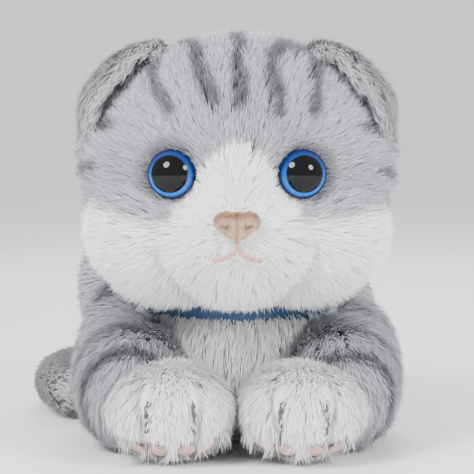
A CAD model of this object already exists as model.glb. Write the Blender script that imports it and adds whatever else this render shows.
# %% [markdown]
# # A plush kitten, brushed and finished in Blender
# The solid model says where every stuffed piece of this toy sits and how it turns.
# Here each piece gets its looks: cloth skins, long tabby pile made of real strands,
# glossy toy eyes, an embroidered face and a satin ribbon. The file is read from top to
# bottom, one small step at a time.

import math

import bpy
import numpy as np
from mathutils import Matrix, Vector


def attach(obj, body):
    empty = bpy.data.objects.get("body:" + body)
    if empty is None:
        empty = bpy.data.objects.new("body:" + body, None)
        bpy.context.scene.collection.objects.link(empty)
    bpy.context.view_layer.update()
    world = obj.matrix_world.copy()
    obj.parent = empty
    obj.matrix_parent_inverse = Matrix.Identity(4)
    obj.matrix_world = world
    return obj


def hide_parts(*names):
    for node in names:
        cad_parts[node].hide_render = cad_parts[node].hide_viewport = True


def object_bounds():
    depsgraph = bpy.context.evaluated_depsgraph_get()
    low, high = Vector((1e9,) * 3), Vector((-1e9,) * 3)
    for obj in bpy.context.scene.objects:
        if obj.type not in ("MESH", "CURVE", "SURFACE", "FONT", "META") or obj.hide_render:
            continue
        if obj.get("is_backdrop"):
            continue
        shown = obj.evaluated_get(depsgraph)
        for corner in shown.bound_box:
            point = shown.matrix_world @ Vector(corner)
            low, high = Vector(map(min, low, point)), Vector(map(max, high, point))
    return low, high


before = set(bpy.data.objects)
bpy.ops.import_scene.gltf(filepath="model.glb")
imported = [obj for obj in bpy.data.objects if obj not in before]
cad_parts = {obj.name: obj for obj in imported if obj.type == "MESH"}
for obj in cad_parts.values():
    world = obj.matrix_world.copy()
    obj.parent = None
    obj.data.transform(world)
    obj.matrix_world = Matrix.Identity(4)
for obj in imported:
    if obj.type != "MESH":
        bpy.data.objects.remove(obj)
cad_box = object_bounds()
MM = 0.001
SIDES = {"left": 1, "right": -1}
print("solid model from", [round(v, 3) for v in cad_box[0]], "to", [round(v, 3) for v in cad_box[1]])

# %% [markdown]
# ## A small language for node trees
# Materials and Geometry Nodes are both made of nodes joined by wires. Writing every node by
# hand is slow to read, so one class wraps a socket and lets plain arithmetic add the Math
# nodes, and one method makes any other node from its type, its settings and its inputs.


# %% Sockets that can be added and multiplied
class Wire:
    """An output socket; arithmetic on it adds Math nodes."""

    def __init__(self, tree, socket):
        self.tree, self.socket = tree, socket

    def math(self, operation, *others):
        return self.tree.make("ShaderNodeMath", {"operation": operation}, [self, *others])

    def __add__(self, other):
        return self.math("ADD", other)

    def __sub__(self, other):
        return self.math("SUBTRACT", other)

    def __rsub__(self, other):
        return self.tree.make("ShaderNodeMath", {"operation": "SUBTRACT"}, [other, self])

    def __mul__(self, other):
        return self.math("MULTIPLY", other)

    def __truediv__(self, other):
        return self.math("DIVIDE", other)

    def __rtruediv__(self, other):
        return self.tree.make("ShaderNodeMath", {"operation": "DIVIDE"}, [other, self])

    __radd__ = __add__
    __rmul__ = __mul__


class Tree:
    """A node tree that is filled by function calls."""

    def __init__(self, tree):
        self.nodes, self.links = tree.nodes, tree.links

    def make(self, kind, settings=None, inputs=None, output=0):
        node = self.nodes.new(kind)
        for name, value in (settings or {}).items():
            setattr(node, name, value)
        pairs = inputs.items() if isinstance(inputs, dict) else enumerate(inputs or [])
        for key, value in pairs:
            if isinstance(value, Wire):
                self.links.new(value.socket, node.inputs[key])
            elif value is not None:
                node.inputs[key].default_value = value
        return Wire(self, node.outputs[output])

    def attribute(self, name, output="Fac"):
        return self.make("ShaderNodeAttribute", {"attribute_name": name}, output=output)

    def noise(self, scale, detail=2.0, vector=None):
        place = vector or self.make("ShaderNodeTexCoord", output="Object")
        return self.make(
            "ShaderNodeTexNoise", None, {"Vector": place, "Scale": scale, "Detail": detail}
        )

    def mix(self, factor, first, second, blend="MIX"):
        settings = {"data_type": "RGBA", "blend_type": blend}
        return self.make("ShaderNodeMix", settings, {0: factor, 6: first, 7: second}, output=2)

    def between(self, value, low, high):
        """0 below low, 1 above high, smooth in between."""
        settings = {"interpolation_type": "SMOOTHSTEP"}
        inputs = {"Value": value, "From Min": low, "From Max": high}
        return self.make("ShaderNodeMapRange", settings, inputs)


def surface(name, constants, build):
    """A material: constants go on the shader's own sockets, build(tree) gives the rest."""
    material = bpy.data.materials.new(name)
    material.use_nodes = True
    tree = Tree(material.node_tree)
    shader = material.node_tree.nodes["Principled BSDF"]
    for key, value in constants.items():
        shader.inputs[key].default_value = value
    for key, wire in build(tree).items():
        tree.links.new(wire.socket, shader.inputs[key])
    return material


def bump(tree, height, distance, strength=0.5):
    inputs = {"Height": height, "Strength": strength, "Distance": distance}
    return tree.make("ShaderNodeBump", None, inputs)


# %% [markdown]
# ## Pile and backing
# The pile is silver grey, with near-black tabby stripes and off-white face, paws and belly.
# How dark and how white each strand is gets painted on the cloth further below, and brushing
# gives it a random tint; `along` runs from its root to its tip. Real pile is darker at the
# roots, where little light reaches, so the colour is mixed from all four.

# %% Fur materials
GREY, PALE_GREY = (0.37, 0.37, 0.405, 1), (0.60, 0.60, 0.635, 1)
WHITE, CREAM = (0.97, 0.965, 0.955, 1), (0.93, 0.91, 0.85, 1)
DARK, SOOT = (0.055, 0.057, 0.064, 1), (0.12, 0.12, 0.135, 1)


def tabby(tree, along, tint):
    """The coat's colour from its painted attributes."""
    grey = tree.mix(along, (0.29, 0.29, 0.32, 1), GREY)
    grey = tree.mix(tree.between(tint, 0.45, 1.0) * 0.75 * along, grey, PALE_GREY)
    stripe = tree.mix(along * 0.55 + tint * 0.3, DARK, SOOT)
    coat = tree.mix(tree.attribute("dark"), grey, stripe)
    white = tree.mix(along * 0.75 + 0.25, CREAM, WHITE)
    return tree.mix(tree.attribute("white"), coat, white)


def pile_nodes(tree):
    along, tint = tree.attribute("along"), tree.attribute("tint")
    coat = tabby(tree, along, tint)
    shade = tree.make("ShaderNodeCombineColor", None, [0.86 + 0.14 * along + 0.08 * tint] * 3)
    return {"Base Color": tree.mix(1.0, coat, shade, "MULTIPLY")}


def cloth_nodes(tree):
    grain = tree.noise(900.0, 3.0)
    coat = tabby(tree, grain * 0.4 + 0.4, grain)
    return {"Base Color": coat, "Normal": bump(tree, grain, 0.0006)}


SOFT = {"Roughness": 0.62, "Specular IOR Level": 0.28, "Sheen Weight": 0.25, "Sheen Roughness": 0.45}
pile_finish = surface("pile", SOFT, pile_nodes)
cloth_finish = surface("backing", {"Roughness": 0.9, "Specular IOR Level": 0.1}, cloth_nodes)
print("coat materials:", pile_finish.name, "and", cloth_finish.name)

# %% [markdown]
# ## The stuffed forms
# Every limb of the toy is a stuffed bag, and stuffing makes round forms that melt into each
# other at the seams. A few egg shapes are joined by a voxel remesh, then relaxed, which is
# what stuffing does to sewn cloth. The eggs repeat the sizes of the solid model, and sit a
# pile's height inside it, so that the tips of the strands end at its surface.

# %% Egg shapes and the soft union
EGGS = {
    "head": ((0, -62, 112), (63.5, 52, 56)),
    "cheek_left": ((27, -83, 88), (33, 27, 27)),
    "cheek_right": ((-27, -83, 88), (33, 27, 27)),
    "brow": ((0, -84, 130), (36, 27, 26)),
    "muzzle": ((0, -103, 86), (28, 18, 21)),
    "bridge": ((0, -103, 102), (14, 13, 22)),
    "chest": ((0, -40, 38), (45, 44, 42)),
    "waist": ((0, 6, 40), (47, 62, 46)),
    "rump": ((0, 52, 40), (50, 68, 48)),
    "haunch_left": ((38, 62, 39), (27, 40, 37)),
    "haunch_right": ((-38, 62, 39), (27, 40, 37)),
    "foot_left": ((48, 24, 14), (14, 28, 12.5)),
    "foot_right": ((-48, 24, 14), (14, 28, 12.5)),
    "shoulder": ((48, -34, 29), (20, 20, 28)),
    "arm": ((42, -70, 27), (23, 38, 26)),
    "paw": ((25.2, -104, 20), (24.5, 27, 18.4)),
}


def egg(name, depth, side=1):
    """Centre and radii of an egg in metres, shrunk by depth millimetres."""
    centre, radii = (np.array(v, float) for v in EGGS[name])
    centre[0] *= side
    return centre * MM, (radii - depth) * MM


def egg_mesh(eggs, around=48, up=32):
    """Vertices and faces of several closed eggs."""
    verts, faces = [], []
    for centre, radii in eggs:
        start = len(verts)
        verts.append(centre + radii * (0, 0, -1))
        for ring in range(1, up):
            slope = math.pi * (ring / up - 0.5)
            for step in range(around):
                turn = 2 * math.pi * step / around
                way = (math.cos(slope) * math.cos(turn), math.cos(slope) * math.sin(turn), math.sin(slope))
                verts.append(centre + radii * way)
        verts.append(centre + radii * (0, 0, 1))
        last = len(verts) - 1
        for step in range(around):
            after = (step + 1) % around
            faces.append((start, start + 1 + after, start + 1 + step))
            top = start + 1 + (up - 2) * around
            faces.append((last, top + step, top + after))
            for ring in range(up - 2):
                low = start + 1 + ring * around
                faces.append((low + step, low + after, low + around + after, low + around + step))
    return verts, faces


def new_object(name, verts, faces):
    mesh = bpy.data.meshes.new(name)
    mesh.from_pydata([tuple(v) for v in verts], [], faces)
    mesh.update()
    thing = bpy.data.objects.new(name, mesh)
    bpy.context.scene.collection.objects.link(thing)
    return thing


def apply_modifiers(thing):
    """Turns the modified shape into the object's own plain mesh."""
    graph = bpy.context.evaluated_depsgraph_get()
    graph.update()
    mesh = bpy.data.meshes.new_from_object(thing.evaluated_get(graph))
    thing.modifiers.clear()
    thing.data = mesh
    return thing


def relax(thing, voxel, rounds):
    """Melts overlapping forms into one and lets the cloth relax."""
    melt = thing.modifiers.new("melt", "REMESH")
    melt.mode, melt.voxel_size, melt.use_smooth_shade = "VOXEL", voxel * MM, True
    ease = thing.modifiers.new("ease", "SMOOTH")
    ease.factor, ease.iterations = 0.5, rounds
    return apply_modifiers(thing)


def per_corner(thing, key):
    """Something that every vertex of a mesh has, as an array, n by 3."""
    flat = np.empty(len(thing.data.vertices) * 3)
    thing.data.vertices.foreach_get(key, flat)
    return flat.reshape(-1, 3)


def corners(thing):
    return per_corner(thing, "co")


def normals(thing):
    return per_corner(thing, "normal")


def move_corners(thing, places):
    thing.data.vertices.foreach_set("co", np.asarray(places, float).ravel())
    thing.data.update()


def paint(thing, **values):
    """Writes one number or one vector per vertex, under a name."""
    for name, value in values.items():
        value = np.asarray(value, float)
        kind, key = ("FLOAT_VECTOR", "vector") if value.ndim == 2 else ("FLOAT", "value")
        layer = thing.data.attributes.new(name, kind, "POINT")
        layer.data.foreach_set(key, value.ravel())


def ramp(value, low, high):
    """0 below low, 1 above high, smooth in between."""
    t = np.clip((value - low) / (high - low), 0, 1)
    return t * t * (3 - 2 * t)


def unit(vectors):
    return vectors / np.maximum(np.linalg.norm(vectors, axis=-1, keepdims=True), 1e-9)


def laid_flat(vectors, out):
    """Directions pressed flat onto the cloth, whose outward directions are given."""
    return vectors - (vectors * out).sum(1)[:, None] * out


def inside(places, name, depth=0.0, side=1):
    """How deep each place is in an egg: below 1 is inside."""
    centre, radii = egg(name, depth, side)
    return np.linalg.norm((places - centre) / radii, axis=1)


# %% [markdown]
# ## Strands
# A strand of pile is modelled as a thin tapering blade that bows outwards and bends back to
# the cloth. Geometry Nodes scatters it over a skin: each point reads how long the pile is and
# which way it is brushed, both painted on the skin, and a Voronoi cell pulls neighbouring
# tips together, because real pile hangs in small locks. Eight blades with different
# bends stop it looking combed by a machine.

# %% The strand shapes
# each step: how far along the strand, half its width there, how far it bows out
BLADE_STEPS = ((0.0, 0.42, 0.0), (0.34, 0.5, 0.11), (0.70, 0.38, 0.15), (1.0, 0.0, 0.07))
POINTS_PER_BLADE = 7
WIDTH_OVER_LENGTH = 0.06
locks = bpy.data.collections.new("strand_shapes")
shape_random = np.random.default_rng(11)
for number in range(8):
    sway, curl = shape_random.uniform(-0.2, 0.2), shape_random.uniform(-0.05, 0.1)
    verts, along = [], []
    for reach, half, bow in BLADE_STEPS:
        shift = sway * reach * reach / WIDTH_OVER_LENGTH
        spots = [-half, half] if half else [0.0]
        for spot in spots:
            verts.append((spot + shift, bow + curl * reach * reach, reach))
            along.append(reach)
    faces = [(1, 0, 2, 3), (3, 2, 4, 5), (5, 4, 6)]
    blade = new_object(f"strand_shape_{number}", verts, faces)
    bpy.context.scene.collection.objects.unlink(blade)
    locks.objects.link(blade)
    paint(blade, along=along)

# %% [markdown]
# ## Brushing
# Pile is woven into its backing close and even, then brushed. One Geometry Nodes tree stands
# for both: it scatters points, which looks as even once the strands lie over each other, and
# turns a strand shape at each by the brushed direction, the normal and its lock's middle. A
# fixed seed keeps every strand in its place from one run to the next.

# %% The brushing tree
STRAND_WIDTH = 0.0006


def brushing_tree(name, material):
    """Geometry Nodes: skin in, brushed strands out."""
    group = bpy.data.node_groups.new(name, "GeometryNodeTree")
    face = group.interface
    sockets = {}
    face.new_socket("Skin", in_out="INPUT", socket_type="NodeSocketGeometry")
    for label, start in (("Density", 1e6), ("Rise", 0.6), ("Lock", 0.006), ("Pull", 0.5),
                         ("Mess", 0.2), ("Width", STRAND_WIDTH), ("Length", 1.0)):
        socket = face.new_socket(label, in_out="INPUT", socket_type="NodeSocketFloat")
        socket.default_value = start
        sockets[label] = socket.identifier
    sockets["Seed"] = face.new_socket("Seed", in_out="INPUT", socket_type="NodeSocketInt").identifier
    face.new_socket("Strands", in_out="OUTPUT", socket_type="NodeSocketGeometry")
    tree = Tree(group)
    given = group.nodes.new("NodeGroupInput")
    wire = {s.name: Wire(tree, s) for s in given.outputs if s.name}

    def named(label, kind="FLOAT"):
        return tree.make("GeometryNodeInputNamedAttribute", {"data_type": kind}, {"Name": label})

    def vector(operation, *inputs):
        return tree.make("ShaderNodeVectorMath", {"operation": operation}, list(inputs))

    def scaled(value, factor):
        return tree.make("ShaderNodeVectorMath", {"operation": "SCALE"}, {0: value, "Scale": factor})

    def chance(low, high, shift):
        inputs = {2: low, 3: high, 8: wire["Seed"] + shift}
        return tree.make("FunctionNodeRandomValue", {"data_type": "FLOAT"}, inputs, output=1)

    spread = tree.make(
        "GeometryNodeDistributePointsOnFaces",
        {"distribute_method": "RANDOM"},
        {"Mesh": wire["Skin"], "Density": wire["Density"] * named("keep"), "Seed": wire["Seed"]},
    )
    normal = Wire(tree, spread.socket.node.outputs["Normal"])
    place = tree.make("GeometryNodeInputPosition")
    length = named("length") * wire["Length"] * chance(0.72, 1.12, 1)
    cell = tree.make(
        "ShaderNodeTexVoronoi",
        {"voronoi_dimensions": "3D", "feature": "F1"},
        {"Vector": place, "Scale": 1.0 / wire["Lock"]},
        output="Position",
    )
    gather = vector("SUBTRACT", cell, place)
    off_skin = vector("DOT_PRODUCT", gather, normal)
    off_skin = Wire(tree, off_skin.socket.node.outputs["Value"])
    gather = vector("SUBTRACT", gather, scaled(normal, off_skin))
    gather = scaled(gather, wire["Pull"] / length)
    mess = tree.make(
        "FunctionNodeRandomValue",
        {"data_type": "FLOAT_VECTOR"},
        {0: (-1, -1, -1), 1: (1, 1, 1), 8: wire["Seed"] + 2},
    )
    way = vector("ADD", named("flow", "FLOAT_VECTOR"), scaled(normal, wire["Rise"] + named("lift")))
    way = vector("ADD", way, gather)
    way = vector("NORMALIZE", vector("ADD", way, scaled(mess, wire["Mess"])))
    turn = tree.make(
        "FunctionNodeAxesToRotation",
        {"primary_axis": "Z", "secondary_axis": "Y"},
        {"Primary Axis": way, "Secondary Axis": normal},
    )
    points = spread
    for label, kind, value in (("tint", "FLOAT", chance(0.0, 1.0, 3)), ("root", "FLOAT_VECTOR", normal)):
        points = tree.make(
            "GeometryNodeStoreNamedAttribute",
            {"data_type": kind, "domain": "POINT"},
            {"Geometry": points, "Name": label, "Value": value},
        )
    shapes = tree.make(
        "GeometryNodeCollectionInfo", None, {"Collection": locks, "Separate Children": True}
    )
    wide = wire["Width"] * chance(0.7, 1.3, 4)
    size = tree.make("ShaderNodeCombineXYZ", None, [wide, length, length])
    placed = tree.make(
        "GeometryNodeInstanceOnPoints",
        None,
        {"Points": points, "Instance": shapes, "Pick Instance": True, "Rotation": turn, "Scale": size},
    )
    real = tree.make("GeometryNodeRealizeInstances", None, [placed])
    done = tree.make("GeometryNodeSetMaterial", None, {"Geometry": real, "Material": material})
    out = group.nodes.new("NodeGroupOutput")
    tree.links.new(done.socket, out.inputs[0])
    return group, sockets


brushing, brushing_sockets = brushing_tree("brushing", pile_finish)
FLOOR_GAP = 0.3 * MM


def blade_cells(mesh):
    """Gives every strand its own small cell of the UV map, so that its colour can be kept."""
    strands = len(mesh.vertices) // POINTS_PER_BLADE
    side = math.ceil(math.sqrt(strands))
    loops = np.empty(len(mesh.loops), int)
    mesh.loops.foreach_get("vertex_index", loops)
    strand, corner = loops // POINTS_PER_BLADE, loops % POINTS_PER_BLADE
    across = np.array([0.3, 0.7, 0.3, 0.7, 0.3, 0.7, 0.5])[corner]
    along = np.array([0.2, 0.2, 0.4, 0.4, 0.6, 0.6, 0.8])[corner]
    cells = np.stack([(strand % side + across) / side, (strand // side + along) / side], 1)
    layer = mesh.uv_layers.new(name="OFBake")
    layer.data.foreach_set("uv", cells.ravel())


def brush(skin, name, body, seed, density, middle=None, chosen=None, **settings):
    """Grows pile on a painted skin, or its chosen vertices, as a plain mesh on a body.

    Density is in strands per square millimetre. A draft has fewer, wider strands.
    """
    values = {"Density": density * 1.0 * 1e6, "Seed": seed, **settings}
    pile = bpy.data.objects.new(name, skin.data.copy())
    bpy.context.scene.collection.objects.link(pile)
    if chosen is not None:
        layer = pile.data.attributes["keep"].data
        kept = np.empty(len(chosen))
        layer.foreach_get("value", kept)
        layer.foreach_set("value", kept * chosen)
    step = pile.modifiers.new("brush", "NODES")
    step.node_group = brushing
    for label, value in values.items():
        step[brushing_sockets[label]] = value
    apply_modifiers(pile)
    mesh = pile.data
    places = corners(pile)
    places[:, 2] = np.maximum(places[:, 2], FLOOR_GAP)
    move_corners(pile, places)
    count = len(mesh.vertices)
    root = np.empty(count * 3)
    mesh.attributes["root"].data.foreach_get("vector", root)
    root = unit(root.reshape(-1, 3))
    if middle is not None:
        root = unit(corners(pile) - middle)
    soft = unit(normals(pile) * 0.4 + root * 0.9)
    mesh.normals_split_custom_set_from_vertices(soft)
    for label in ("root", "flow", "length", "keep", "lift"):
        if label in mesh.attributes:
            mesh.attributes.remove(mesh.attributes[label])
    blade_cells(mesh)
    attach(pile, body)
    print(f"{name}: {count // POINTS_PER_BLADE} strands")
    return pile


def dress(skin, body, nodes):
    """A finished skin: it rides on its body and stands for its solids."""
    skin.data.materials.clear()
    skin.data.materials.append(cloth_finish)
    skin.data.polygons.foreach_set("use_smooth", [True] * len(skin.data.polygons))
    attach(skin, body)
    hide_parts(*nodes)


# %% [markdown]
# ## The head
# The head is the largest bag: a round skull, full cheeks and a small muzzle. The eyes press
# the cloth in where their stems are locked from behind. The tabby marks are painted as
# distances to short lines; the white blaze rises between the eyes and spreads into the
# cheeks and chin.

# %% Head skin
EYE = np.array((25.2, -104.2, 111.0)) * MM
EYE_TURN = math.radians(12)
EYE_RADIUS = 9.55 * MM
NECK = np.array((0.0, -0.042, 0.072))


def eye_axis(side):
    return np.array((side * math.sin(EYE_TURN), -math.cos(EYE_TURN), 0.0))


def from_eye(places, side):
    """Distance from an eye's axis, and depth along it."""
    away = places - EYE * (side, 1, 1)
    depth = away @ eye_axis(side)
    return np.linalg.norm(away - depth[:, None] * eye_axis(side), axis=1), depth


HEAD_DEPTH, FACE_DEPTH = 5.5, 2.0
head_eggs = [egg("head", HEAD_DEPTH), egg("muzzle", FACE_DEPTH), egg("bridge", FACE_DEPTH)]
head_eggs += [egg(name, HEAD_DEPTH) for name in ("cheek_left", "cheek_right", "brow")]
head = relax(new_object("head_cloth", *egg_mesh(head_eggs)), 2.0, 6)
spots = corners(head)
for side in SIDES.values():
    away, depth = from_eye(spots, side)
    press = ramp(-away, -16 * MM, -9.5 * MM) * (depth > -14 * MM)
    sunk = np.minimum(depth, -2.2 * MM)
    spots += ((sunk - depth) * press)[:, None] * eye_axis(side)
move_corners(head, spots)
print("head skin:", len(head.data.vertices), "vertices")

# %% [markdown]
# ## Tabby marks
# The real stripes are printed on the cloth, so their edges are soft and a little uneven.
# Each is a line of points with a width. A place is dark when it lies near a line, and slow
# sine waves shift the places first, so that no edge is straight.


# %% Stripes and white patches of the head
def near_line(places, line, width, axes=(0, 2)):
    """1 on a line of points given in millimetres, fading to 0 at its width."""
    flat = places[:, axes] / MM
    best = np.full(len(flat), 1e9)
    for a, b in zip(line[:-1], line[1:]):
        a, b = np.array(a, float), np.array(b, float)
        t = np.clip(((flat - a) @ (b - a)) / ((b - a) @ (b - a)), 0, 1)
        best = np.minimum(best, np.linalg.norm(flat - a - t[:, None] * (b - a), axis=1))
    return 1 - ramp(best, width * 0.36, width * 0.72)


def wobble(places, size, amount, seed=0.0):
    """Smooth made-up unevenness, from a few sine waves."""
    p = places / (size * MM) + seed
    waves = np.sin(p[:, 0] * 1.9 + p[:, 1] * 1.3) + np.sin(p[:, 2] * 2.3 - p[:, 0] * 0.8 + 1.7)
    waves += np.sin(p[:, 1] * 2.1 + p[:, 2] * 1.1 + 4.0)
    return waves * amount / 3


FACE_MARKS = (
    (((0, 172), (0.5, 137)), 5.6),
    (((-33, 154), (-31, 144), (-25, 134)), 5.0),
    (((-31, 154), (-27, 160), (-19, 161), (-14, 150), (-8, 138)), 5.0),
    (((19, 161), (14, 156), (13, 146), (15, 134)), 5.0),
    (((14, 156), (21, 158), (33, 155)), 4.6),
    (((30, 154), (29, 144), (28, 134)), 5.0),
    (((47, 127), (63, 126)), 4.5),
    (((-47, 129), (-61, 127)), 4.5),
    (((54, 112), (66, 108)), 4.0),
    (((-54, 113), (-66, 109)), 4.0),
    (((-12, 168), (-15, 164)), 4.0),
)
CROWN_MARKS = (
    (((0, -75), (0, -5)), 6.0),
    (((-18, -78), (-20, -20)), 5.5),
    (((18, -78), (20, -20)), 5.5),
    (((-36, -70), (-38, -25)), 5.5),
    (((36, -70), (38, -25)), 5.5),
)


def head_marks(places):
    shifted = places + np.stack([wobble(places, 9, 1.2 * MM, s) for s in (0, 2, 4)], 1)
    front = 1 - ramp(places[:, 1], -64 * MM, -50 * MM)
    face = np.max([near_line(shifted, line, width) for line, width in FACE_MARKS], axis=0)
    crown = np.max([near_line(shifted, line, width, (0, 1)) for line, width in CROWN_MARKS], axis=0)
    crown = crown * ramp(places[:, 2], 98 * MM, 112 * MM)
    nape = 0.8 * near_line(shifted, ((-60, 94), (60, 94)), 6)
    nape = nape * ramp(places[:, 1], -40 * MM, -25 * MM)
    return np.maximum(face * front, np.maximum(crown, nape) * (1 - front))


def head_white(places):
    x, z = np.abs(places[:, 0]) / MM, places[:, 2] / MM
    uneven = wobble(places, 7, 1.5)
    blaze = np.interp(z, (86, 98, 103, 111, 116, 120, 126), (27, 23, 18.5, 12.5, 9, 4.5, -8))
    from_blaze = blaze - x + uneven
    below = np.interp(x, (0, 20, 26, 41, 61, 66), (94, 94, 92, 92.5, 97, 98)) - z + uneven
    white = np.maximum(ramp(from_blaze, -1.5, 2.0), ramp(below, -2.5, 2.5))
    return white * (1 - ramp(places[:, 1], -52 * MM, -34 * MM))


# %% [markdown]
# ## Brushing the face
# A kitten's face is brushed outwards from the nose: short there and around the eyes, longer
# on the cheeks and chin. The colours are looked up at the middle of each strand, not at its
# root, because a strand carries its colour sideways. The pile stays clear of the eyes, the
# nose, the mouth's stitches and the neck.

# %% Painting the head skin
spots, out = corners(head), normals(head)
NOSE = np.array((0.0, -0.1225, 0.0918))
NOSE_HALF, NOSE_HIGH = 8.2e-3, 6.2e-3
radial = spots - NOSE
radial[:, 2] -= ramp(spots[:, 1], -70 * MM, -20 * MM) * 80 * MM
radial = laid_flat(radial, out)
near_eye = np.min([from_eye(spots, side)[0] for side in SIDES.values()], axis=0)
front = 1 - ramp(spots[:, 1], -90 * MM, -70 * MM)
eye_gap = np.where(spots[:, 1] < -85 * MM, near_eye, 1.0)
from_nose = np.linalg.norm(spots - NOSE, axis=1)
length = (4.2 + 5.6 * ramp(from_nose, 8 * MM, 42 * MM)) * (0.42 + 0.58 * ramp(eye_gap, 10 * MM, 20 * MM))
forehead = ramp(spots[:, 2], 118 * MM, 134 * MM) * (1 - ramp(spots[:, 1], -75 * MM, -50 * MM))
chin = 1 - ramp(spots[:, 2], 62 * MM, 76 * MM)
length += 3.0 * chin - 2.6 * forehead
radial[:, 2] -= chin * 40 * MM
MOUTH = (
    ((0, 86.0), (0, 83.5), (0, 81.2)),
    ((0.4, 81.2), (5.0, 78.2), (10.5, 76.8)),
    ((-0.4, 81.2), (-5.0, 78.2), (-10.5, 76.8)),
)
stitched = np.max([near_line(spots, line, 3.4) for line in MOUTH], axis=0) * front
short = np.max([near_line(spots, line, 9.0) for line in MOUTH], axis=0) * front
length *= 1 - 0.45 * short
nose_away = np.hypot(spots[:, 0] / NOSE_HALF, (spots[:, 2] - NOSE[2]) / NOSE_HIGH)
keep = ramp(eye_gap, 9.3 * MM, 10.0 * MM) * (1 - stitched)
keep *= np.where(front > 0.5, ramp(nose_away, 0.8, 1.0), 1.0)
at_neck = (np.linalg.norm(spots - NECK, axis=1) < 0.040) & (spots[:, 2] < 0.085)
keep *= np.where(at_neck, 0.0, 1.0)
rim = (1 - ramp(eye_gap, 9.5 * MM, 14 * MM)) * 0.75
tips = spots + unit(radial) * (length * 0.5 * MM)[:, None]
marks = np.maximum(head_marks(tips), rim * (1 - 0.5 * head_white(tips)))
paint(
    head,
    flow=unit(radial),
    length=length * MM,
    keep=keep,
    lift=0.25 * ramp(from_nose, 10 * MM, 50 * MM),
    dark=marks,
    white=head_white(tips) * (1 - 0.6 * rim),
)
dress(head, "head", ("head_skin", "muzzle_skin", "head_stuffing", "muzzle_stuffing"))

# %% [markdown]
# ## Head pile
# The face is looked at most closely, so its pile is the finest and densest. Three rows, from
# the face to the nape, get coarser and sparser, and each is a piece of its own.

# %% Head pile, in front and behind
HEAD_ROWS = ((-200, -92, 4.8), (-92, -62, 3.7), (-62, 20, 2.0))
for row, (low, high, density) in enumerate(HEAD_ROWS):
    chosen = (spots[:, 1] >= low * MM) & (spots[:, 1] < high * MM)
    brush(head, f"head_pile_{row}", "head", 20 + row, density, chosen=chosen,
          Rise=0.40, Lock=0.0055, Pull=0.55, Mess=0.15, Width=0.00036 + 0.00004 * row)

# %% [markdown]
# ## Body, haunches and hind feet
# The trunk, the haunches and the hind feet do not move against each other, so their cloth is
# one soft union. One egg more fills the right flank. The pile is brushed backwards along the
# flanks and downwards on the chest, and is left off where the front legs and neck rub.

# %% Trunk skin
BODY_DEPTH = 5.0
trunk_eggs = [egg(name, BODY_DEPTH) for name in ("chest", "waist", "rump", "haunch_left", "haunch_right")]
trunk_eggs += [egg(name, 2.4) for name in ("foot_left", "foot_right")]
trunk_eggs.append((np.array((-47, 52, 54)) * MM, np.array((22, 36, 30)) * MM))
trunk = relax(new_object("trunk_cloth", *egg_mesh(trunk_eggs)), 2.4, 8)
spots = corners(trunk)
spots[:, 2] = np.maximum(spots[:, 2], 1.6 * MM)
move_corners(trunk, spots)


def bands(places, along, centres, width):
    """Soft stripes across one direction, at the given places in millimetres."""
    value = along / MM + wobble(places, 14, 2.6)
    return np.max([1 - ramp(np.abs(value - c), width * 0.3, width) for c in centres], axis=0)


spots, out = corners(trunk), normals(trunk)
backward = np.stack([0 * spots[:, 0], 0.8 * np.ones(len(spots)), -0.35 - 0 * spots[:, 0]], 1)
chest_front = 1 - ramp(spots[:, 1], -62 * MM, -35 * MM)
backward = backward * (1 - chest_front[:, None]) + np.array((0, -0.25, -1.0)) * chest_front[:, None]
flow = unit(laid_flat(backward, out))
keep = ramp(spots[:, 2], 2.2 * MM, 4 * MM)
for side in SIDES.values():
    for name in ("shoulder", "arm"):
        keep *= inside(spots, name, 6.5, side) > 1.0
keep *= np.linalg.norm(spots - NECK, axis=1) > 0.037
tilted = spots[:, 1] + 0.35 * spots[:, 2]
side_marks = bands(spots, tilted, (2, 38, 74, 106), 4.2) * ramp(spots[:, 2], 14 * MM, 24 * MM)
spine = near_line(spots, ((0, -30), (0, 130)), 8, (0, 1)) * ramp(spots[:, 2], 55 * MM, 65 * MM)
foot_white = 1 - ramp(inside(spots, "foot_left"), 1.0, 1.04)
foot_white = np.maximum(foot_white, 1 - ramp(inside(spots, "foot_right"), 1.0, 1.04))
foot_white *= 1 - ramp(spots[:, 1], 16 * MM, 30 * MM)
belly_white = 1 - ramp(spots[:, 2], 5 * MM, 12 * MM)
chest_pale = 0.45 * chest_front
paint(
    trunk,
    flow=flow,
    length=(10.0 - 4.5 * foot_white - 4.0 * belly_white) * MM,
    keep=keep,
    lift=0 * spots[:, 0],
    dark=np.maximum(side_marks, spine) * (1 - chest_front),
    white=np.maximum.reduce([foot_white, 0.8 * belly_white, chest_pale]),
)
trunk_nodes = ["torso_skin", "torso_stuffing", "pellet_bag"]
trunk_nodes += [f"{part}_{side}" for side in SIDES for part in
                ("haunch_skin", "haunch_stuffing", "foot_skin", "foot_stuffing")]
dress(trunk, "torso", trunk_nodes)
BODY_ROWS = ((-200, -30, 3.6), (-30, 40, 1.35), (40, 200, 1.05))
for row, (low, high, density) in enumerate(BODY_ROWS):
    chosen = (spots[:, 1] >= low * MM) & (spots[:, 1] < high * MM)
    brush(trunk, f"body_pile_{row}", "torso", 30 + row, density, chosen=chosen,
          Rise=0.36, Lock=0.006, Pull=0.5, Mess=0.15, Width=0.00045 + 0.0001 * row)

# %% [markdown]
# ## Neck
# Under the chin the head meets a ball of cloth. It is mostly hidden by the pile of the head
# and the chest, and its own pile is short so that the head can nod.

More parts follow.
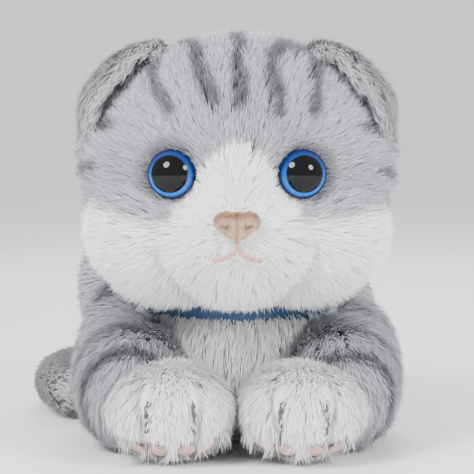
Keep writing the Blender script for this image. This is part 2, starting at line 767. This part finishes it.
# %% Neck skin
LEAN = np.array((0.0, -math.sin(math.radians(20)), math.cos(math.radians(20))))
neck = relax(new_object("neck_cloth", *egg_mesh([(NECK, np.full(3, 0.0385))])), 2.4, 2)
spots, out = corners(neck), normals(neck)
height = (spots - NECK) @ LEAN
down = np.tile(-LEAN, (len(spots), 1)) + np.array((0, -0.2, 0))
open_part = (height > 0 * MM) & (height < 14 * MM)
paint(
    neck,
    flow=unit(laid_flat(down, out)),
    length=np.full(len(spots), 3.5 * MM),
    keep=open_part * (inside(spots, "head", 5.0) > 1.0),
    lift=0 * spots[:, 0],
    dark=0 * spots[:, 0],
    white=0.5 * (1 - ramp(spots[:, 1], -60 * MM, -45 * MM)),
)
dress(neck, "neck", ("neck_stuffing",))
brush(neck, "neck_pile", "neck", 40, 1.0, Rise=0.5, Pull=0.4)

# %% [markdown]
# ## Front legs and paws
# Each front leg is a soft bag bent at the elbow, with a white paw stitched to its end. Short
# dark thread pulls the paw in between the toes: the stitches press grooves into the cloth.

# %% Front legs
LEG_DEPTHS = {"shoulder": 3.0, "arm": 2.6, "paw": 2.6}
TOES = (-9.5, 9.5)
TOE_LINE = ((1.08, 28), (1.0, 20), (0.9, 12))
TOE_GROOVE = 1.2
PAW_SEAM = -86 * MM
# each pad: its place seen from the paw's middle, its radius, its slope in degrees
PADS = ((-15, -5, 3.0, 38), (-6, -8, 3.3, 40), (3.5, -8, 3.3, 40), (12.5, -5, 3.0, 38), (0, 6, 8.0, 0))


def on_pads(near, side):
    """Distance beyond the edge of the nearest leather pad, for places seen from the paw's middle."""
    best = np.full(len(near), 1.0)
    for x, y, radius, slope in PADS:
        lean = math.radians(slope)
        axis = np.array((0, -math.sin(lean), -math.cos(lean)))
        away = near - np.array((side * x, y, 0)) * MM
        along = away @ axis
        away = np.linalg.norm(away - along[:, None] * axis, axis=1) - radius * MM
        best = np.minimum(best, np.where(along > 0, away, 1.0))
    return best


def front_leg(side_name, side):
    parts = [egg(name, depth, side) for name, depth in LEG_DEPTHS.items()]
    leg = relax(new_object(f"leg_cloth_{side_name}", *egg_mesh(parts)), 1.8, 7)
    spots = corners(leg)
    spots[:, 2] = np.maximum(spots[:, 2], 1.0 * MM)
    centre = egg("paw", 0, side)[0]
    near = spots - centre
    swell = 1 - ramp(on_pads(near, side), 0.0, 1.5 * MM)
    near *= 1 + (swell * (0.97 / np.maximum(inside(spots, "paw", 0, side), 0.5) - 1))[:, None]
    spots = near + centre
    front = 1 - ramp(near[:, 1], -14 * MM, -6 * MM)
    for toe in TOES:
        groove = (1 - ramp(np.abs(near[:, 0] - toe * MM), 0.8 * MM, 3.6 * MM)) * front
        groove *= ramp(spots[:, 2], 4 * MM, 10 * MM) * (1 - ramp(spots[:, 2], 28 * MM, 33 * MM))
        spots -= unit(near) * (groove * TOE_GROOVE * MM)[:, None]
    move_corners(leg, spots)
    spots, out = corners(leg), normals(leg)
    near = spots - centre
    at_paw = 1 - ramp(spots[:, 1], -92 * MM, -76 * MM)
    downward = np.array((1.0 * side, -0.15, -0.7)) * (1 - at_paw[:, None])
    downward = downward + np.stack([near[:, 0] * 18, 0 * at_paw - 0.4, 0 * at_paw - 1.0], 1) * at_paw[:, None]
    flow = unit(laid_flat(downward, out))
    on_paw = 1 - ramp(spots[:, 1] + 0.25 * (spots[:, 2] - 0.02), -90 * MM, -84 * MM)
    patch = inside(spots, "paw", 2.6, side)
    white = on_paw * (1 - ramp(patch, 1.02, 1.12))
    ring = spots[:, 1] + 0.42 * spots[:, 2] + 0.1 * np.abs(spots[:, 0])
    marks = bands(spots, ring, (-77, -61, -42), 4.4)
    marks = marks * (1 - white) * ramp(side * spots[:, 0], 26 * MM, 36 * MM)
    clear = np.ones(len(spots))
    for reach in (0.0, 2.2, 4.4, 6.6):
        along = near + flow * reach * MM
        toe_lines = [[(toe * bend, z - 20) for bend, z in TOE_LINE] for toe in TOES]
        toe_line = np.max([near_line(along, line, 3.8) for line in toe_lines], axis=0)
        toe_line = toe_line * (1 - ramp(near[:, 1], -14 * MM, -8 * MM))
        clear *= (1 - toe_line) * (on_pads(along, side) > 0)
    keep = ramp(spots[:, 2], 1.8 * MM, 3.2 * MM) * clear
    keep *= (inside(spots, "chest", 8.5) > 1.0) | (spots[:, 1] < -60 * MM)
    keep *= side * spots[:, 0] > 1.0 * MM
    paint(
        leg,
        flow=flow,
        length=(9.0 - 1.6 * white) * MM,
        keep=keep,
        lift=0 * spots[:, 0],
        dark=marks,
        white=white,
    )
    dress(leg, f"front_leg_{side_name}",
          [f"{part}_{side_name}" for part in ("front_leg_skin", "front_leg_stuffing", "paw_skin")])
    brush(leg, f"leg_pile_{side_name}", f"front_leg_{side_name}", 50 + side, 3.6,
          chosen=spots[:, 1] > PAW_SEAM, Rise=0.36, Lock=0.0055, Pull=0.5, Width=0.00042)
    brush(leg, f"paw_pile_{side_name}", f"front_leg_{side_name}", 60 + side, 6.6,
          chosen=spots[:, 1] <= PAW_SEAM, Rise=0.40, Lock=0.005, Pull=0.5, Width=0.00036)
    return leg


legs = {name: front_leg(name, side) for name, side in SIDES.items()}

# %% [markdown]
# ## Ears
# Each ear is a thin folded flap, cut from fur cloth with a smooth lining, sewn along the side
# of the crown. Its shape is taken from the solid model's two layers, melted together with a
# small egg at the root, so that no gap opens when the ear lifts.

# %% Ears
EAR_HINGE = np.array((0.030, -0.060, 0.1615))


def ear(side_name, side):
    verts, faces = [], []
    for node in (f"ear_skin_{side_name}", f"ear_lining_{side_name}"):
        source = bpy.data.objects[node]
        start = len(verts)
        verts += [source.matrix_world @ v.co for v in source.data.vertices]
        faces += [[start + i for i in p.vertices] for p in source.data.polygons]
    hinge = EAR_HINGE * (side, 1, 1)
    root = (hinge + np.array((side * 1.5, 0, -4.0)) * MM, np.array((5.5, 15, 6.5)) * MM)
    root_verts, root_faces = egg_mesh([root], 32, 20)
    faces += [[len(verts) + i for i in f] for f in root_faces]
    verts += [Vector(v) for v in root_verts]
    flap = relax(new_object(f"ear_cloth_{side_name}", verts, faces), 1.4, 12)
    spots, out = corners(flap), normals(flap)
    skull = egg("head", 0)[0]
    reach = np.linalg.norm(spots - hinge, axis=1)
    tuck = 3.6 * (1 - ramp(reach, 3 * MM, 22 * MM)) + 5.5 * ramp(reach, 34 * MM, 54 * MM)
    spots = spots - out * 1.2 * MM - unit(spots - skull) * (tuck * MM)[:, None]
    move_corners(flap, spots)
    spots, out = corners(flap), normals(flap)
    outward = (out * unit(spots - skull)).sum(1)
    from_hinge = spots - hinge
    from_hinge[:, 1] *= 0.4
    from_hinge += np.outer(ramp(-out[:, 1], 0.05, 0.5), (0, -0.018, -0.006))
    flow = unit(laid_flat(from_hinge, out))
    outer = ramp(outward, -0.85, -0.5)
    reach = np.linalg.norm(spots - hinge, axis=1)
    paint(
        flap,
        flow=flow,
        length=(4.5 + 3.5 * ramp(reach, 5 * MM, 24 * MM) - 2.0 * ramp(reach, 40 * MM, 56 * MM)) * MM,
        keep=outer,
        lift=0 * outer,
        dark=0 * outer,
        white=0.22 * outer,
    )
    dress(flap, f"ear_{side_name}", (f"ear_skin_{side_name}", f"ear_lining_{side_name}"))
    brush(flap, f"ear_pile_{side_name}", f"ear_{side_name}", 70 + side, 6.6, skull,
          Rise=0.34, Lock=0.005, Pull=0.55, Width=0.0004)


for name, side in SIDES.items():
    ear(name, side)

# %% [markdown]
# ## Tail
# The tail is a stuffed tube that lies curled around the toy's right side. A tube is swept
# along its curl, closed by round ends and brushed from the root to the tip.

# %% Tail
CURL = np.array((-0.004, 0.036, 0.0135))
CURL_RADIUS, TAIL_RADIUS = 0.076, 0.0125 - 0.0035
TAIL_RINGS = (128, 152, 176)
tail_balls = []
for step in range(60):
    turn = math.radians(90 + 115 * step / 59)
    middle = CURL + CURL_RADIUS * np.array((math.cos(turn), math.sin(turn), 0))
    tail_balls.append((middle, np.full(3, TAIL_RADIUS)))
tail = relax(new_object("tail_cloth", *egg_mesh(tail_balls, 20, 12)), 1.6, 6)
spots, out = corners(tail), normals(tail)
away = spots - CURL
turn = np.degrees(np.arctan2(away[:, 1], away[:, 0])) % 360
flow = np.stack([-away[:, 1], away[:, 0], 0 * turn], 1)
rings = [1 - ramp(np.abs(turn - c + wobble(spots, 9, 2)), 0.8, 3.2) for c in TAIL_RINGS]
paint(
    tail,
    flow=unit(laid_flat(flow, out)),
    length=np.full(len(spots), 7.0 * MM),
    keep=ramp(spots[:, 2], 5.5 * MM, 6.5 * MM) * 0.6 + 0.4,
    lift=0 * turn,
    dark=np.max(rings, axis=0),
    white=0.4 + 0 * turn,
)
dress(tail, "tail", ("tail_skin", "tail_stuffing"))
brush(tail, "tail_pile", "tail", 80, 2.6, Rise=0.34, Lock=0.005, Pull=0.5, Width=0.00045)

# %% [markdown]
# ## Threads
# The mouth and the toes are embroidered with a few long stitches of thick cotton. A stitch is
# modelled as two plies twisted about each other, swept along the surface it was sewn on, so
# the twist catches the light as real thread does.


# %% Twisted thread
def thread_nodes(tone):
    """The colours of a cotton thread of the given tone."""
    def build(tree):
        fibre = tree.noise(2500.0, 2.0)
        colour = tree.mix(fibre, (*(0.62 * c for c in tone), 1), (*tone, 1))
        return {"Base Color": colour, "Normal": bump(tree, fibre, 0.0002)}

    return build


PINK, CHARCOAL = (0.78, 0.36, 0.33), (0.10, 0.10, 0.115)
pink_thread = surface("pink_thread", {"Roughness": 0.5, "Sheen Weight": 0.2}, thread_nodes(PINK))
grey_thread = surface("grey_thread", {"Roughness": 0.6, "Sheen Weight": 0.2}, thread_nodes(CHARCOAL))
print("threads:", pink_thread.name, "and", grey_thread.name)


def smooth_path(points, count):
    """A rounded path through three or more points."""
    points = np.array(points, float)
    at = np.linspace(0, len(points) - 1, count)
    fine = np.stack([np.interp(at, range(len(points)), points[:, i]) for i in range(3)], 1)
    for _ in range(count // 3):
        fine[1:-1] = (fine[:-2] + 2 * fine[1:-1] + fine[2:]) / 4
    return fine


PLY_SIDES, PLY_RADIUS, PLY_OFFSET, TWIST_LENGTH = 8, 0.62, 0.42, 7.0


def twisted(name, paths, radius, body, nodes, material):
    """Two-ply thread swept along each path of (points, outward directions)."""
    verts, faces = [], []
    for points, outward in paths:
        ahead = unit(np.gradient(points, axis=0))
        across = unit(np.cross(ahead, outward))
        up = np.cross(across, ahead)
        length = np.concatenate(([0], np.cumsum(np.linalg.norm(np.diff(points, axis=0), axis=1))))
        for ply in (0, 1):
            start, ring = len(verts), PLY_SIDES
            for i, point in enumerate(points):
                turn = length[i] / (radius * TWIST_LENGTH) * 2 * math.pi + ply * math.pi
                close = min(1.0, 0.25 + 0.75 * math.sin(math.pi * i / (len(points) - 1)) * 4)
                middle = point + (across[i] * math.cos(turn) + up[i] * math.sin(turn)) * radius * PLY_OFFSET
                for k in range(ring):
                    angle = 2 * math.pi * k / ring
                    spoke = across[i] * math.cos(angle) + up[i] * math.sin(angle)
                    verts.append(middle + spoke * radius * PLY_RADIUS * close)
            for i in range(len(points) - 1):
                for k in range(ring):
                    a, b = start + i * ring + k, start + i * ring + (k + 1) % ring
                    faces.append((a, b, b + ring, a + ring))
            faces.append(tuple(start + k for k in range(ring))[::-1])
            faces.append(tuple(len(verts) - ring + k for k in range(ring)))
    piece = new_object(name, verts, faces)
    finish_piece(piece, body, nodes, material)
    return piece


def finish_piece(piece, body, nodes, material):
    """Gives a piece its finish, its body and the solids that it stands for."""
    piece.data.materials.append(material)
    piece.data.polygons.foreach_set("use_smooth", [True] * len(piece.data.polygons))
    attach(piece, body)
    if nodes:
        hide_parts(*nodes)


def lie_on(skin, points, lift):
    """Points moved onto a skin, with the skin's outward directions."""
    places, outward = [], []
    for point in points:
        _, near, normal, _ = skin.closest_point_on_mesh([float(v) for v in point])
        places.append(np.array(near) + np.array(normal) * lift)
        outward.append(np.array(normal))
    return np.array(places), np.array(outward)


# %% [markdown]
# ## Mouth and toes
# Three pink stitches make the mouth and two dark ones part the toes of each front paw. Each
# path is rounded first, then dropped onto the cloth and lifted by about the height of the
# short pile beside it, so that the thread lies on top.

# %% Mouth and toes
MOUTH_FRONT, TOE_FRONT = -0.123, -0.131
mouth_paths = []
for line in MOUTH:
    stitch = smooth_path([(x * MM, MOUTH_FRONT, z * MM) for x, z in line], 24)
    mouth_paths.append(lie_on(head, stitch, 1.9 * MM))
twisted("mouth_stitches", mouth_paths, 0.9 * MM, "head", ("mouth_thread",), pink_thread)
for name, side in SIDES.items():
    toe_paths = []
    for toe in TOES:
        line = [(side * 0.0252 + toe * bend * MM, TOE_FRONT, z * MM) for bend, z in TOE_LINE]
        toe_paths.append(lie_on(legs[name], smooth_path(line, 30), 3.5 * MM))
    twisted(f"toe_thread_{name}", toe_paths, 1.0 * MM, f"front_leg_{name}",
            (f"toe_stitches_{name}",), grey_thread)
print("stitches:", len(mouth_paths), "on the mouth,", len(toe_paths), "on each front paw")

# %% [markdown]
# ## Eyes
# A toy eye is a clear plastic dome with the iris painted on its flat back and a stem behind.
# Seen through the dome, the iris fills it to the rim, so the paint is put on the dome itself
# and a clear coat above it gives the wet shine.

# %% Eye domes
EYE_BALL, EYE_RISE, EYE_SUNK = 10.6 * MM, 6.0 * MM, 1.6 * MM
EYE_RINGS, EYE_AROUND = 40, 96


def eye_nodes(tree):
    """Pupil, iris and dark rim, by the distance from the eye's axis."""
    radius = tree.attribute("from_axis")
    height = tree.attribute("up")
    streak = tree.noise(420.0, 3.0, tree.attribute("spoke", "Vector"))
    bright = tree.mix(streak, (0.003, 0.085, 0.48, 1), (0.012, 0.24, 0.80, 1))
    deep = tree.mix(tree.between(height, -0.7, 0.6), bright, (0.004, 0.028, 0.15, 1))
    iris = tree.mix(tree.between(radius, 0.84, 0.95), deep, (0.003, 0.012, 0.06, 1))
    low, high = (0.002, 0.002, 0.003, 1), (0.0004, 0.0004, 0.0006, 1)
    pupil = tree.mix(tree.between(height, -0.8, -0.1), low, high)
    return {"Base Color": tree.mix(tree.between(radius, 0.735, 0.775), pupil, iris)}


eye_finish = surface(
    "painted_eye",
    {"Roughness": 0.3, "Specular IOR Level": 0.0, "Coat Weight": 0.55, "Coat Roughness": 0.03},
    eye_nodes,
)


def eye(name, side):
    """A dome swept around the eye's axis, closed in front and behind."""
    centre, axis = EYE * (side, 1, 1), eye_axis(side)
    across = np.array((-axis[1], axis[0], 0.0))
    up = np.array((0.0, 0.0, 1.0))
    ball, ring = EYE_BALL, EYE_AROUND
    edge = math.acos((ball - EYE_RISE) / ball)
    profile = [(math.sin(edge) * ball, -EYE_SUNK)]
    for a in np.linspace(edge, 0, EYE_RINGS)[:-1]:
        profile.append((math.sin(a) * ball, math.cos(a) * ball - ball + EYE_RISE))
    verts, radii, heights, spokes, faces = [], [], [], [], []
    for radius, depth in profile:
        for k in range(ring):
            angle = 2 * math.pi * k / ring
            spoke = across * math.cos(angle) + up * math.sin(angle)
            verts.append(centre + axis * depth + spoke * radius)
            radii.append(radius / EYE_RADIUS)
            heights.append(math.sin(angle) * radius / EYE_RADIUS)
            spokes.append((math.cos(angle) * 0.01, math.sin(angle) * 0.01, radius * 0.15))
    for i in range(len(profile) - 1):
        for k in range(ring):
            a, b = i * ring + k, i * ring + (k + 1) % ring
            faces.append((b, a, a + ring, b + ring))
    front, back = len(verts), len(verts) + 1
    verts += [centre + axis * EYE_RISE, centre - axis * EYE_SUNK]
    radii, heights = radii + [0, 0], heights + [0, 0]
    spokes += [(0, 0, 0), (0, 0, 0)]
    last = (len(profile) - 1) * ring
    for k in range(ring):
        after = (k + 1) % ring
        faces.append((last + after, last + k, front))
        faces.append((k, after, back))
    dome = new_object(f"eye_{name}", verts, faces)
    paint(dome, from_axis=radii, up=heights, spoke=np.array(spokes))
    nodes = (f"eye_dome_{name}", f"eye_iris_{name}")
    finish_piece(dome, "head", nodes, eye_finish)


for name, side in SIDES.items():
    eye(name, side)
print("eyes:", round(2 * EYE_RADIUS / MM, 1), "mm across, turned outwards by", round(math.degrees(EYE_TURN)))

# %% [markdown]
# ## Nose
# The nose is a little peach velvet cushion with three soft lobes, drawn in along the middle
# and at the nostrils. Its velvet is the same strand shape, only a millimetre long.

# %% Nose cushion and velvet
def velvet_nodes(tree):
    tint = tree.attribute("tint")
    colour = tree.mix(tint, (0.64, 0.40, 0.27, 1), (0.84, 0.60, 0.43, 1))
    return {"Base Color": tree.mix(tree.attribute("dark"), colour, (0.34, 0.17, 0.13, 1))}


velvet = surface("velvet", {**SOFT, "Sheen Weight": 0.5}, velvet_nodes)
nose_eggs = [(np.array((x, -0.1215, z)), np.array(r)) for x, z, r in (
    (0.0044, 0.0936, (0.0039, 0.0034, 0.0030)),
    (-0.0044, 0.0936, (0.0039, 0.0034, 0.0030)),
    (0.0, 0.0906, (0.0046, 0.0034, 0.0032)),
    (0.0, 0.0936, (0.0045, 0.0032, 0.0028)),
)]
nose = relax(new_object("nose_cushion", *egg_mesh(nose_eggs)), 0.5, 5)
spots = corners(nose)
flat_x = spots[:, 0] / MM
seam = 1 - ramp(np.abs(flat_x), 0.2, 0.9)
nostrils = [((s * 5.6, 92.6), (s * 3.4, 91.6), (s * 3.2, 92.8)) for s in SIDES.values()]
nostril = np.max([near_line(spots, line, 1.6) for line in nostrils], axis=0)
front = 1 - ramp(spots[:, 1], -0.123, -0.121)
spots[:, 1] += (seam * 0.7 + nostril * 0.8) * front * MM
move_corners(nose, spots)
spots, out = corners(nose), normals(nose)
flow = np.tile((0.0, -0.2, -1.0), (len(spots), 1))
paint(
    nose,
    flow=unit(laid_flat(flow, out)),
    length=np.full(len(spots), 1.3 * MM),
    keep=np.ones(len(spots)),
    lift=0 * flat_x,
    dark=np.maximum(seam * 0.75, nostril) * front,
    white=0 * flat_x,
)
finish_piece(nose, "head", ("nose",), velvet)
fuzz = brush(nose, "nose_velvet", "head", 90, 24.0,
             Rise=1.2, Lock=0.001, Pull=0.2, Mess=0.3, Width=0.00022)
fuzz.data.materials.clear()
fuzz.data.materials.append(velvet)

# %% [markdown]
# ## Collar
# The collar is one length of satin ribbon, wound once around the neck and sewn on itself at
# the nape. Satin shines across its threads, so its fine ribs run around the neck and its
# edges carry a woven selvedge.

# %% Ribbon
def satin_nodes(tree):
    around, over = tree.attribute("around"), tree.attribute("over")
    rib = (over * 160.0).math("SINE") * 0.5 + 0.5
    slub = tree.noise(260.0, 3.0)
    edge = tree.between((over - 0.5).math("ABSOLUTE"), 0.40, 0.44)
    satin = tree.mix(slub * 0.7 + rib * 0.2, (0.020, 0.055, 0.115, 1), (0.050, 0.11, 0.21, 1))
    colour = tree.mix(edge * 0.6, satin, (0.03, 0.07, 0.15, 1))
    rough = 0.30 + 0.12 * slub + 0.2 * edge
    return {"Base Color": colour, "Roughness": rough, "Normal": bump(tree, rib + slub, 0.0001, 0.3)}


satin = surface(
    "satin", {"Anisotropic": 0.5, "Sheen Weight": 0.05, "Specular IOR Level": 0.35}, satin_nodes
)
RIBBON_LOW, RIBBON_HIGH, RIBBON_RADIUS = -12.5 * MM, -1.5 * MM, 42.0 * MM
AROUND, OVER = 240, 12
side_way = np.array((1.0, 0.0, 0.0))
front_way = np.cross(LEAN, side_way)
verts, arounds, overs, faces = [], [], [], []
OVERLAP = 0.22
lap = 2 * math.pi + OVERLAP
for i in range(AROUND + 1):
    angle = -lap / 2 + lap * i / AROUND
    spoke = side_way * math.sin(angle) - front_way * math.cos(angle)
    ripple = 0.35 * math.sin(angle * 5 + 0.6) + 0.2 * math.sin(angle * 11)
    over_lap = 0.5 if i > AROUND * 0.93 else 0.0
    for j in range(OVER + 1):
        share = j / OVER
        height = RIBBON_LOW + (RIBBON_HIGH - RIBBON_LOW) * share + ripple * 0.5 * MM
        cup = 0.5 * (2 * share - 1) ** 2 - 0.4 * math.sin(angle * 3) * (2 * share - 1)
        verts.append(NECK + LEAN * height + spoke * (RIBBON_RADIUS + (cup + over_lap) * MM))
        arounds.append(i / AROUND)
        overs.append(share)
    if i:
        for j in range(OVER):
            a = (i - 1) * (OVER + 1) + j
            faces.append((a, a + OVER + 1, a + OVER + 2, a + 1))
ribbon = new_object("ribbon", verts, faces)
paint(ribbon, around=arounds, over=overs)
finish_piece(ribbon, "neck", ("collar_ribbon",), satin)

# %% [markdown]
# ## What stays of the solid model
# The belly panel, the leather pads and the hidden plastic keep their solid shapes and get
# finishes of their own.

# %% Finishes for shown solids
def leather_nodes(tree):
    nap = tree.noise(1100.0, 4.0)
    colour = tree.mix(nap, (0.52, 0.27, 0.25, 1), (0.80, 0.52, 0.48, 1))
    return {"Base Color": colour, "Normal": bump(tree, nap, 0.0003)}


def panel_nodes(tree):
    weave = tree.noise(700.0, 2.0)
    return {"Base Color": tree.mix(weave, (0.55, 0.55, 0.56, 1), (0.78, 0.78, 0.77, 1)),
            "Normal": bump(tree, weave, 0.0004)}


leather = surface("leather", {"Roughness": 0.85, "Sheen Weight": 0.4}, leather_nodes)


def mottled(scale, low, high):
    """A plain moulded plastic, a little uneven in tone."""
    return lambda tree: {"Base Color": tree.mix(tree.noise(scale), low, high)}


panel = surface("panel_cloth", {"Roughness": 0.9}, panel_nodes)
black_plastic = surface(
    "black_plastic", {"Roughness": 0.35}, mottled(300.0, (0.01, 0.01, 0.011, 1), (0.025, 0.025, 0.027, 1))
)
nylon = surface("nylon", {"Roughness": 0.5}, mottled(200.0, (0.6, 0.6, 0.58, 1), (0.75, 0.75, 0.72, 1)))
SHOWN = {"belly_panel": panel}
for side in SIDES:
    SHOWN.update({f"paw_pads_{side}": leather, f"foot_pads_{side}": leather,
                  f"eye_back_{side}": black_plastic, f"eye_washer_{side}": nylon})
for node, material in SHOWN.items():
    solid = bpy.data.objects[node].data
    solid.materials.clear()
    solid.materials.append(material)
print("solids shown as they are:", len(SHOWN))

# %% [markdown]
# ## Floor, light and camera
# A pale floor bends up into a wall far behind. Two large soft lamps stand in front at both
# sides and give each eye its highlight; a third, behind, brightens the pile's edge.

# %% Stage
def floor_nodes(tree):
    cloud = tree.noise(1.2, 2.0)
    return {"Base Color": tree.mix(cloud, (0.88, 0.88, 0.88, 1), (0.91, 0.91, 0.91, 1))}


FLOOR_FRONT, WALL_START, WALL_BEND, WALL_TOP, HALF_WIDTH = -3.0, 1.2, 2.5, 8.0, 9.0
sweep = [(FLOOR_FRONT, 0.0)]
for step in range(33):
    turn = math.pi / 2 * step / 32
    sweep.append((WALL_START + WALL_BEND * math.sin(turn), WALL_BEND - WALL_BEND * math.cos(turn)))
sweep.append((WALL_START + WALL_BEND, WALL_TOP))
verts, faces = [], []
for i, (y, z) in enumerate(sweep):
    verts += [(-HALF_WIDTH, y, z), (HALF_WIDTH, y, z)]
    if i:
        faces.append((2 * i - 2, 2 * i - 1, 2 * i + 1, 2 * i))
floor = new_object("floor", verts, faces)
floor.data.polygons.foreach_set("use_smooth", [True] * len(floor.data.polygons))
floor.data.materials.append(surface("paper", {"Roughness": 0.8}, floor_nodes))
floor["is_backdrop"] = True


def lamp(name, place, target, size, power, tint=(1, 1, 1)):
    data = bpy.data.lights.new(name, "AREA")
    data.shape, data.size, data.energy, data.color = "DISK", size, power, tint
    thing = bpy.data.objects.new(name, data)
    bpy.context.scene.collection.objects.link(thing)
    thing.location = place
    look = np.array(target, float) - np.array(place, float)
    thing.rotation_mode = "QUATERNION"
    thing.rotation_quaternion = Vector(look).to_track_quat("-Z", "Y")
    return thing


lamp("soft_left", (-0.55, -0.75, 0.75), (0, -0.05, 0.09), 0.45, 16.0)
lamp("soft_right", (0.75, -0.7, 0.55), (0, -0.05, 0.09), 0.35, 10.0)
lamp("rim", (0.1, 0.9, 0.9), (0, 0, 0.1), 0.7, 10.0)
world = bpy.data.worlds.new("room")
world.use_nodes = True
world.node_tree.nodes["Background"].inputs["Color"].default_value = (0.95, 0.97, 1.0, 1)
world.node_tree.nodes["Background"].inputs["Strength"].default_value = 1.1
bpy.context.scene.world = world

# %% [markdown]
# ## Camera
# The toy is looked at from straight in front and a little above, through a long lens, which
# keeps the paws in front from looking larger than they are.

# %% Camera
LENS, FAR, TILT = 152.0, 0.80, math.radians(3.4)
target = np.array((0.0, -0.075, 0.0850))
camera_data = bpy.data.cameras.new("camera")
camera_data.lens, camera_data.sensor_width = LENS, 36.0
camera = bpy.data.objects.new("camera", camera_data)
bpy.context.scene.collection.objects.link(camera)
place = target + FAR * np.array((0, -math.cos(TILT), math.sin(TILT)))
camera.location = place
camera.rotation_mode = "QUATERNION"
camera.rotation_quaternion = Vector(target - place).to_track_quat("-Z", "Y")
bpy.context.scene.camera = camera
print("camera:", FAR, "m away with a", LENS, "mm lens")

# %% [markdown]
# ## Measure and hand over
# The boxes around the solid model and around its looks are written side by side: pile may
# stand a few millimetres proud of the cloth, and no more.

# %% Measure and hand over
boxes = {"cad": cad_box, "visual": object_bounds()}
for key, box in boxes.items():
    print(key, [[round(v, 4) for v in corner] for corner in box])
